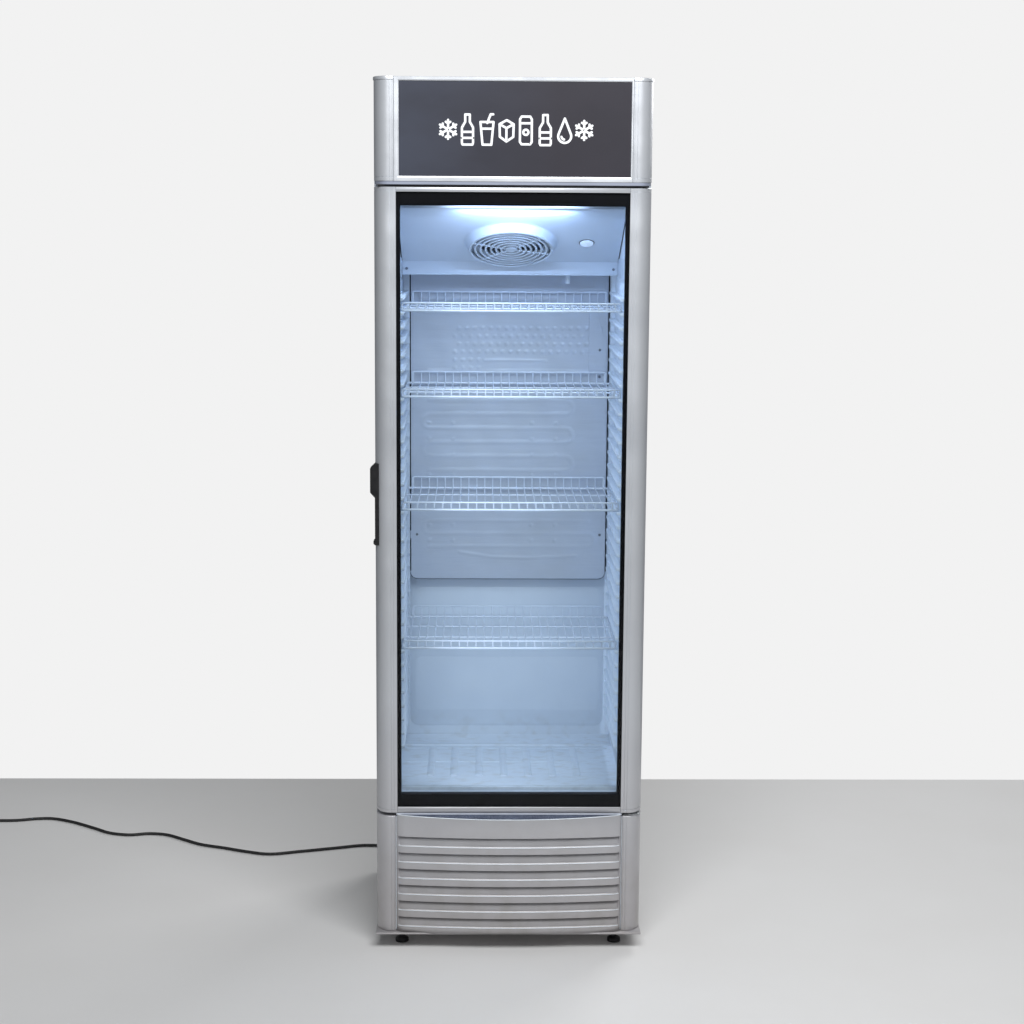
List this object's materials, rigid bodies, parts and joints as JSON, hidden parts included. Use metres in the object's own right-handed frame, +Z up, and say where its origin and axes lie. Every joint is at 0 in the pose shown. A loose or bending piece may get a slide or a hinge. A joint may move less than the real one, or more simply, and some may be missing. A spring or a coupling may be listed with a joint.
{
  "type": "glass door merchandiser",
  "caption": "Upright drinks merchandiser with a hinged glass door, wire shelves, a sign canopy above and a louvred panel over its cooling unit below.",
  "frame": {"origin": "on the floor under the middle of the cabinet", "axes": "+Z up, -Y out of the glass door's front, +X to the right when facing the door"},
  "size_m": [1.8925, 0.974, 2],
  "materials": {
    "silver_trim": "satin silver powder coat",
    "grey_steel": "satin grey coated sheet",
    "zinc_steel": "galvanised, lightly spangled",
    "white_plastic": "satin moulded",
    "white_wire": "semi-gloss dipped white over wire",
    "foam": "foamed in place, rough",
    "black_plastic": "fine moulded grain",
    "rubber": "matte sheath",
    "gasket_grey": "soft matte seal",
    "clear_glass": "clear, polished",
    "sign_face": "charcoal acrylic, satin",
    "copper": "drawn copper tube, dull",
    "black_paint": "satin black paint",
    "plate_aluminium": "brushed, embossed",
    "light_diffuser": "frosted diffuser"
  },
  "bodies": {
    "cabinet": {"back_panel": "zinc_steel", "base_plate": "silver_trim", "canopy_housing": "grey_steel", "compressor": "black_paint", "condenser_coil": "black_paint", "condenser_fan_motor": "black_paint", "condenser_shroud": "grey_steel", "cord_coil": "rubber", "cord_gland": "black_plastic", "discharge_pipe": "copper", "drip_tray": "black_plastic", "electrical_box": "black_plastic", "evaporator_fan_motor": "black_paint", "evaporator_plate": "plate_aluminium", "fan_guard": "white_plastic", "fan_housing": "white_plastic", "foot_front_left": "black_plastic", "foot_front_right": "black_plastic", "foot_rear_left": "black_plastic", "foot_rear_right": "black_plastic", "front_frame": "white_plastic", "header_cap_left": "silver_trim", "header_cap_right": "silver_trim", "header_post_left": "silver_trim", "header_post_right": "silver_trim", "inner_liner": "white_plastic", "insulation_core": "foam", "interior_light": "light_diffuser", "kick_panel": "silver_trim", "kick_post_left": "silver_trim", "kick_post_right": "silver_trim", "lower_hinge_bracket": "zinc_steel", "power_cord": "rubber", "power_plug": "black_plastic", "rear_grille": "grey_steel", "shelf_support_left": "white_plastic", "shelf_support_right": "white_plastic", "side_panel_left": "grey_steel", "side_panel_right": "grey_steel", "sign_frame": "silver_trim", "sign_panel": "sign_face", "top_panel": "grey_steel", "upper_hinge_bar": "zinc_steel"},
    "door": {"door_post_left": "silver_trim", "door_post_right": "silver_trim", "door_rail_bottom": "silver_trim", "door_rail_top": "silver_trim", "outer_glass": "clear_glass", "inner_glass": "clear_glass", "glass_spacer": "black_plastic", "door_inner_frame": "black_plastic", "door_gasket": "gasket_grey", "door_handle": "black_plastic"},
    "shelf_1": {"shelf_1": "white_wire"},
    "shelf_2": {"shelf_2": "white_wire"},
    "shelf_3": {"shelf_3": "white_wire"},
    "shelf_4": {"shelf_4": "white_wire"},
    "evaporator_fan": {"evaporator_fan_blade": "black_plastic"},
    "condenser_fan": {"condenser_fan_blade": "black_plastic"},
    "thermostat": {"thermostat_knob": "white_plastic"}
  },
  "joints": [
    {"name": "door_hinge", "type": "hinge", "parent": "cabinet", "child": "door", "pos_m": [0.291, -0.242, 0.3295], "axis": [0, 0, 1], "range_deg": [0, 110]},
    {"name": "shelf_1_slide", "type": "slide", "parent": "cabinet", "child": "shelf_1", "axis": [0, -1, 0], "range_m": [0, 0.03]},
    {"name": "shelf_2_slide", "type": "slide", "parent": "cabinet", "child": "shelf_2", "axis": [0, -1, 0], "range_m": [0, 0.03]},
    {"name": "shelf_3_slide", "type": "slide", "parent": "cabinet", "child": "shelf_3", "axis": [0, -1, 0], "range_m": [0, 0.03]},
    {"name": "shelf_4_slide", "type": "slide", "parent": "cabinet", "child": "shelf_4", "axis": [0, -1, 0], "range_m": [0, 0.03]},
    {"name": "evaporator_fan_spin", "type": "hinge", "parent": "cabinet", "child": "evaporator_fan", "pos_m": [0, 0.00625, 1.65096], "axis": [0, -0.4281, -0.9037], "continuous": true},
    {"name": "condenser_fan_spin", "type": "hinge", "parent": "cabinet", "child": "condenser_fan", "pos_m": [-0.13, -0.0834, 0.165], "axis": [0, -1, 0], "continuous": true},
    {"name": "thermostat_turn", "type": "hinge", "parent": "cabinet", "child": "thermostat", "pos_m": [0.178, -0.0006, 1.6365], "axis": [0, -0.4281, -0.9037], "range_deg": [0, 270]}
  ]
}
